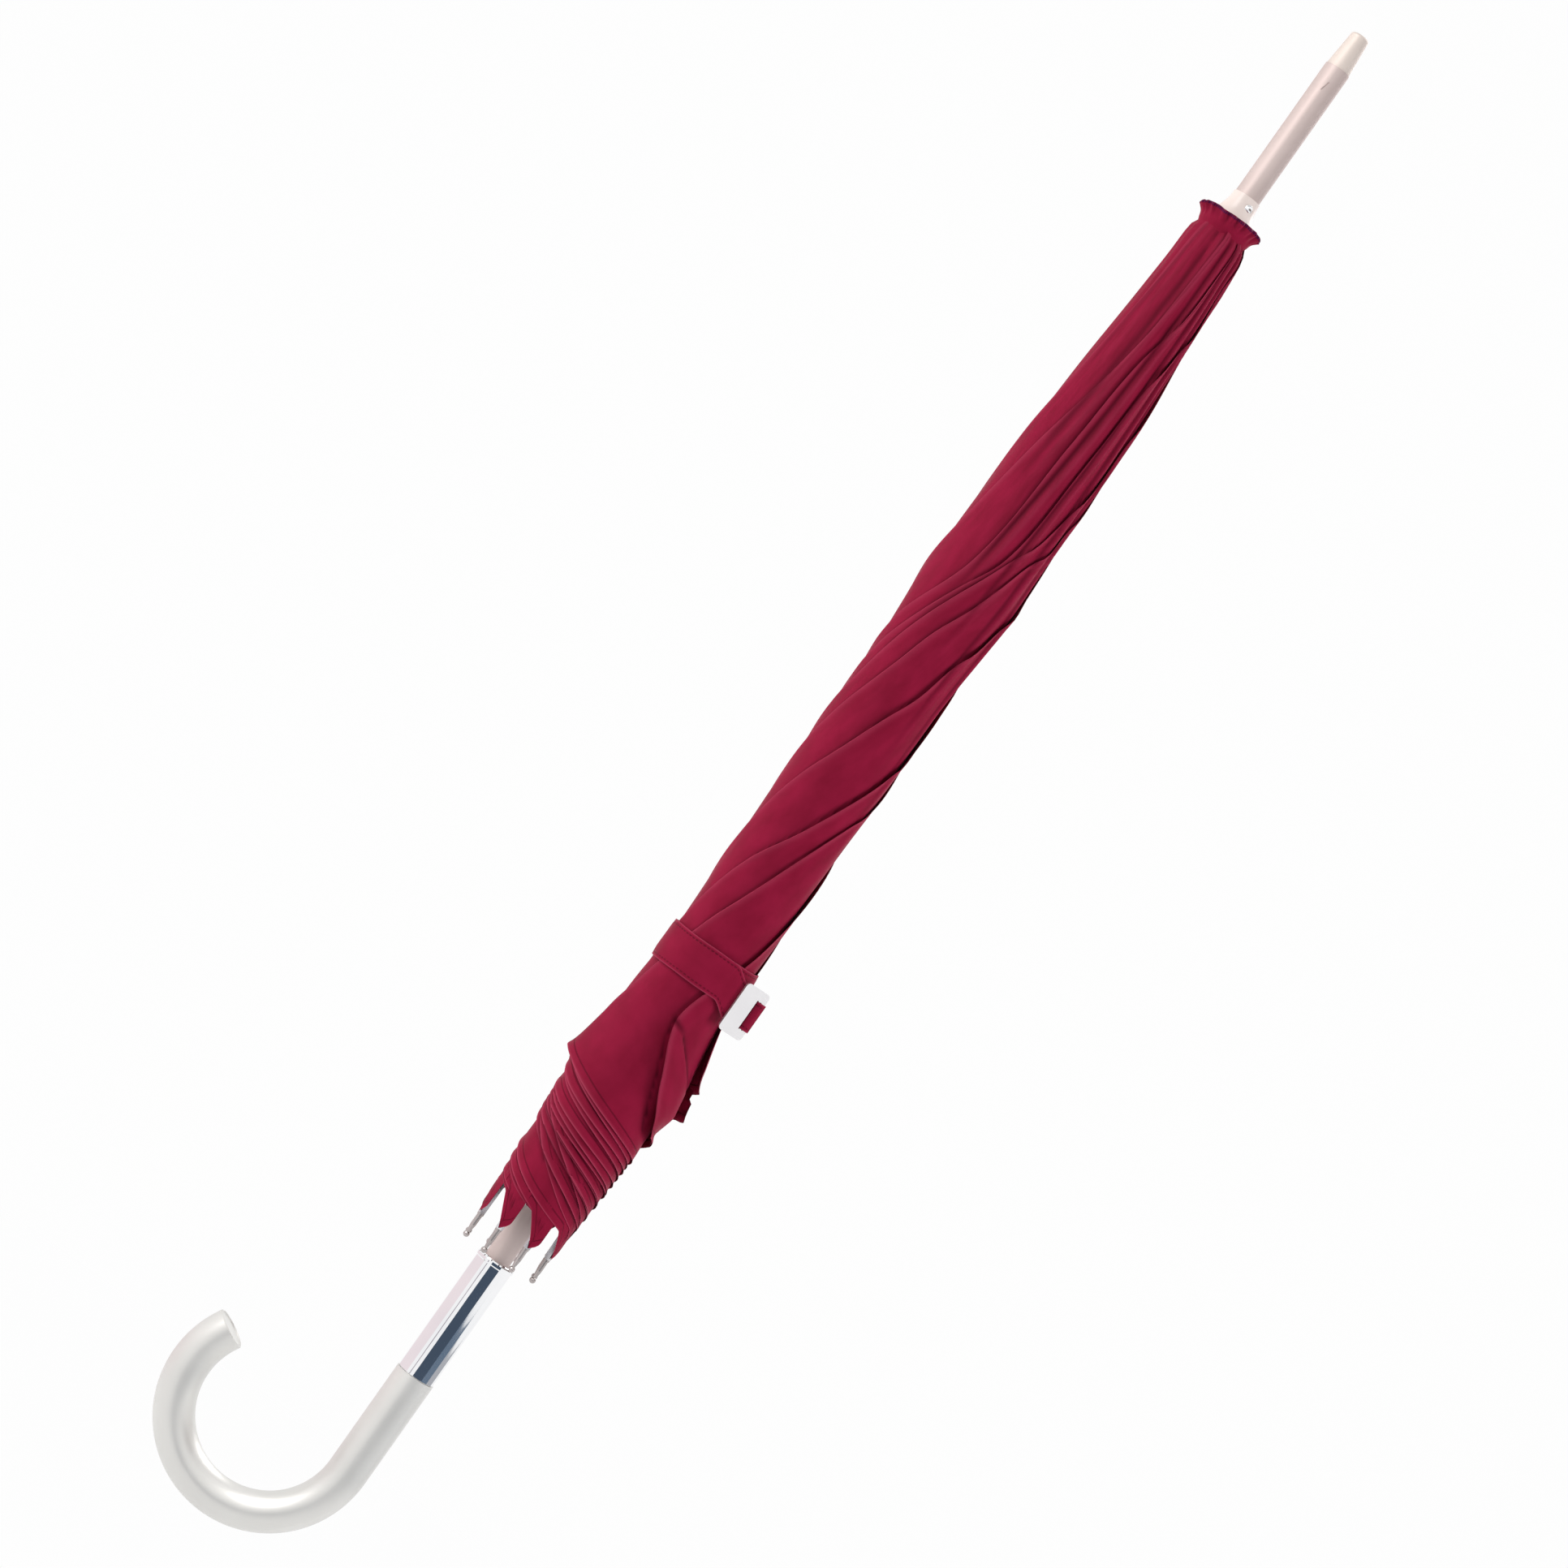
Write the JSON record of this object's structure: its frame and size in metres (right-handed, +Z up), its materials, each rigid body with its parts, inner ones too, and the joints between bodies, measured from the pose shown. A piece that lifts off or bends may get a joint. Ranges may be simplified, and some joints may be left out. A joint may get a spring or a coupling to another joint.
{
  "type": "stick umbrella",
  "caption": "Rolled stick umbrella with a crook handle, a ribbed folding frame on a sliding runner, a strapped fabric canopy and a tapered metal tip.",
  "frame": {"origin": "on the shaft's axis where the crook handle meets the chrome sleeve, at the grip mount", "axes": "+Z up the shaft from the handle to the tip, -X towards the side that the crook curls to"},
  "size_m": [0.1352, 0.0528, 0.8911],
  "materials": {
    "shaft": "satin anodised tube",
    "chrome": "polished chrome",
    "handle": "pearl silver lacquer on moulded plastic",
    "steel": "plated steel",
    "black_plastic": "moulded black plastic",
    "cap_enamel": "satin cream enamel",
    "white_plastic": "white plastic",
    "canopy_cloth": "burgundy pongee",
    "frill_cloth": "burgundy pongee, gathered",
    "strap_cloth": "burgundy pongee strap"
  },
  "bodies": {
    "root": {"shaft": "shaft", "tip": "chrome", "crook_handle": "handle", "handle_end_cap": "handle", "grip_sleeve": "chrome", "top_notch": "black_plastic", "crown_cap": "cap_enamel", "cap_rivet": "chrome", "washer": "white_plastic", "frill": "frill_cloth"},
    "runner": {"runner": "chrome"},
    "rib_1": {"rib_1": "steel", "rib_tip_1": "chrome"},
    "rib_2": {"rib_2": "steel", "rib_tip_2": "chrome"},
    "rib_3": {"rib_3": "steel", "rib_tip_3": "chrome"},
    "rib_4": {"rib_4": "steel", "rib_tip_4": "chrome"},
    "rib_5": {"rib_5": "steel", "rib_tip_5": "chrome"},
    "rib_6": {"rib_6": "steel", "rib_tip_6": "chrome"},
    "rib_7": {"rib_7": "steel", "rib_tip_7": "chrome"},
    "rib_8": {"rib_8": "steel", "rib_tip_8": "chrome"},
    "stretcher_1": {"stretcher_1": "steel"},
    "stretcher_2": {"stretcher_2": "steel"},
    "stretcher_3": {"stretcher_3": "steel"},
    "stretcher_4": {"stretcher_4": "steel"},
    "stretcher_5": {"stretcher_5": "steel"},
    "stretcher_6": {"stretcher_6": "steel"},
    "stretcher_7": {"stretcher_7": "steel"},
    "stretcher_8": {"stretcher_8": "steel"},
    "gore_1": {"gore_1": "canopy_cloth"},
    "gore_2": {"gore_2": "canopy_cloth"},
    "gore_3": {"gore_3": "canopy_cloth"},
    "gore_4": {"gore_4": "canopy_cloth"},
    "gore_5": {"gore_5": "canopy_cloth"},
    "gore_6": {"gore_6": "canopy_cloth"},
    "gore_7": {"gore_7": "canopy_cloth", "strap": "strap_cloth", "slider_plate": "chrome"},
    "gore_8": {"gore_8": "canopy_cloth"},
    "lower_latch": {"lower_latch": "steel"},
    "upper_latch": {"upper_latch": "steel"}
  },
  "joints": [
    {"name": "runner_slide", "type": "slide", "parent": "root", "child": "runner", "axis": [0, 0, 1], "range_m": [0, 0.39263], "deforming": ["gore_1", "gore_2", "gore_3", "gore_4", "gore_5", "gore_6", "gore_7", "gore_8", "strap"]},
    {"name": "rib_hinge_1", "type": "hinge", "parent": "root", "child": "rib_1", "pos_m": [0.01053, 0.00436, 0.655], "axis": [0.3827, -0.9239, 0], "range_deg": [0, 75.22]},
    {"name": "rib_hinge_2", "type": "hinge", "parent": "root", "child": "rib_2", "pos_m": [0.00436, 0.01053, 0.655], "axis": [0.9239, -0.3827, 0], "range_deg": [0, 75.22]},
    {"name": "rib_hinge_3", "type": "hinge", "parent": "root", "child": "rib_3", "pos_m": [-0.00436, 0.01053, 0.655], "axis": [0.9239, 0.3827, 0], "range_deg": [0, 75.22]},
    {"name": "rib_hinge_4", "type": "hinge", "parent": "root", "child": "rib_4", "pos_m": [-0.01053, 0.00436, 0.655], "axis": [0.3827, 0.9239, 0], "range_deg": [0, 75.22]},
    {"name": "rib_hinge_5", "type": "hinge", "parent": "root", "child": "rib_5", "pos_m": [-0.01053, -0.00436, 0.655], "axis": [-0.3827, 0.9239, 0], "range_deg": [0, 75.22]},
    {"name": "rib_hinge_6", "type": "hinge", "parent": "root", "child": "rib_6", "pos_m": [-0.00436, -0.01053, 0.655], "axis": [-0.9239, 0.3827, 0], "range_deg": [0, 75.22]},
    {"name": "rib_hinge_7", "type": "hinge", "parent": "root", "child": "rib_7", "pos_m": [0.00436, -0.01053, 0.655], "axis": [-0.9239, -0.3827, 0], "range_deg": [0, 75.22]},
    {"name": "rib_hinge_8", "type": "hinge", "parent": "root", "child": "rib_8", "pos_m": [0.01053, -0.00436, 0.655], "axis": [-0.3827, -0.9239, 0], "range_deg": [0, 75.22]},
    {"name": "stretcher_hinge_1", "type": "hinge", "parent": "rib_1", "child": "stretcher_1", "pos_m": [0.01401, 0.0058, 0.39603], "axis": [0.3827, -0.9239, 0], "range_deg": [-150.43, 0]},
    {"name": "stretcher_hinge_2", "type": "hinge", "parent": "rib_2", "child": "stretcher_2", "pos_m": [0.0058, 0.01401, 0.39603], "axis": [0.9239, -0.3827, 0], "range_deg": [-150.43, 0]},
    {"name": "stretcher_hinge_3", "type": "hinge", "parent": "rib_3", "child": "stretcher_3", "pos_m": [-0.0058, 0.01401, 0.39603], "axis": [0.9239, 0.3827, 0], "range_deg": [-150.43, 0]},
    {"name": "stretcher_hinge_4", "type": "hinge", "parent": "rib_4", "child": "stretcher_4", "pos_m": [-0.01401, 0.0058, 0.39603], "axis": [0.3827, 0.9239, 0], "range_deg": [-150.43, 0]},
    {"name": "stretcher_hinge_5", "type": "hinge", "parent": "rib_5", "child": "stretcher_5", "pos_m": [-0.01401, -0.0058, 0.39603], "axis": [-0.3827, 0.9239, 0], "range_deg": [-150.43, 0]},
    {"name": "stretcher_hinge_6", "type": "hinge", "parent": "rib_6", "child": "stretcher_6", "pos_m": [-0.0058, -0.01401, 0.39603], "axis": [-0.9239, 0.3827, 0], "range_deg": [-150.43, 0]},
    {"name": "stretcher_hinge_7", "type": "hinge", "parent": "rib_7", "child": "stretcher_7", "pos_m": [0.0058, -0.01401, 0.39603], "axis": [-0.9239, -0.3827, 0], "range_deg": [-150.43, 0]},
    {"name": "stretcher_hinge_8", "type": "hinge", "parent": "rib_8", "child": "stretcher_8", "pos_m": [0.01401, -0.0058, 0.39603], "axis": [-0.3827, -0.9239, 0], "range_deg": [-150.43, 0]},
    {"name": "gore_spread_1", "type": "hinge", "parent": "rib_1", "child": "gore_1", "pos_m": [0.22167, 0.22167, 0.44087], "axis": [0.5763, 0.5763, -0.5795], "range_deg": [0, 54.04]},
    {"name": "gore_spread_2", "type": "hinge", "parent": "rib_2", "child": "gore_2", "pos_m": [0, 0.31348, 0.44087], "axis": [0, 0.815, -0.5795], "range_deg": [0, 54.04]},
    {"name": "gore_spread_3", "type": "hinge", "parent": "rib_3", "child": "gore_3", "pos_m": [-0.22167, 0.22167, 0.44087], "axis": [-0.5763, 0.5763, -0.5795], "range_deg": [0, 54.04]},
    {"name": "gore_spread_4", "type": "hinge", "parent": "rib_4", "child": "gore_4", "pos_m": [-0.31348, 0, 0.44087], "axis": [-0.815, 0, -0.5795], "range_deg": [0, 54.04]},
    {"name": "gore_spread_5", "type": "hinge", "parent": "rib_5", "child": "gore_5", "pos_m": [-0.22167, -0.22167, 0.44087], "axis": [-0.5763, -0.5763, -0.5795], "range_deg": [0, 54.04]},
    {"name": "gore_spread_6", "type": "hinge", "parent": "rib_6", "child": "gore_6", "pos_m": [0, -0.31348, 0.44087], "axis": [0, -0.815, -0.5795], "range_deg": [0, 54.04]},
    {"name": "gore_spread_7", "type": "hinge", "parent": "rib_7", "child": "gore_7", "pos_m": [0.22167, -0.22167, 0.44087], "axis": [0.5763, -0.5763, -0.5795], "range_deg": [0, 54.04]},
    {"name": "gore_spread_8", "type": "hinge", "parent": "rib_8", "child": "gore_8", "pos_m": [0.31348, 0, 0.44087], "axis": [0.815, 0, -0.5795], "range_deg": [0, 54.04]},
    {"name": "lower_latch_press", "type": "slide", "parent": "root", "child": "lower_latch", "axis": [-1, 0, 0], "range_m": [0, 0.0015], "stiffness_N_per_m": 120},
    {"name": "upper_latch_press", "type": "slide", "parent": "root", "child": "upper_latch", "axis": [-1, 0, 0], "range_m": [0, 0.0015], "stiffness_N_per_m": 120}
  ],
  "couplings": [
    {"joint": "rib_hinge_1", "follows": "runner_slide", "rad_per_m": 3.3414},
    {"joint": "rib_hinge_2", "follows": "runner_slide", "rad_per_m": 3.3414},
    {"joint": "rib_hinge_3", "follows": "runner_slide", "rad_per_m": 3.3414},
    {"joint": "rib_hinge_4", "follows": "runner_slide", "rad_per_m": 3.3414},
    {"joint": "rib_hinge_5", "follows": "runner_slide", "rad_per_m": 3.3414},
    {"joint": "rib_hinge_6", "follows": "runner_slide", "rad_per_m": 3.3414},
    {"joint": "rib_hinge_7", "follows": "runner_slide", "rad_per_m": 3.3414},
    {"joint": "rib_hinge_8", "follows": "runner_slide", "rad_per_m": 3.3414},
    {"joint": "stretcher_hinge_1", "follows": "runner_slide", "rad_per_m": -6.6827},
    {"joint": "stretcher_hinge_2", "follows": "runner_slide", "rad_per_m": -6.6827},
    {"joint": "stretcher_hinge_3", "follows": "runner_slide", "rad_per_m": -6.6827},
    {"joint": "stretcher_hinge_4", "follows": "runner_slide", "rad_per_m": -6.6827},
    {"joint": "stretcher_hinge_5", "follows": "runner_slide", "rad_per_m": -6.6827},
    {"joint": "stretcher_hinge_6", "follows": "runner_slide", "rad_per_m": -6.6827},
    {"joint": "stretcher_hinge_7", "follows": "runner_slide", "rad_per_m": -6.6827},
    {"joint": "stretcher_hinge_8", "follows": "runner_slide", "rad_per_m": -6.6827},
    {"joint": "gore_spread_1", "follows": "runner_slide", "rad_per_m": 2.4},
    {"joint": "gore_spread_2", "follows": "runner_slide", "rad_per_m": 2.4},
    {"joint": "gore_spread_3", "follows": "runner_slide", "rad_per_m": 2.4},
    {"joint": "gore_spread_4", "follows": "runner_slide", "rad_per_m": 2.4},
    {"joint": "gore_spread_5", "follows": "runner_slide", "rad_per_m": 2.4},
    {"joint": "gore_spread_6", "follows": "runner_slide", "rad_per_m": 2.4},
    {"joint": "gore_spread_7", "follows": "runner_slide", "rad_per_m": 2.4},
    {"joint": "gore_spread_8", "follows": "runner_slide", "rad_per_m": 2.4}
  ]
}
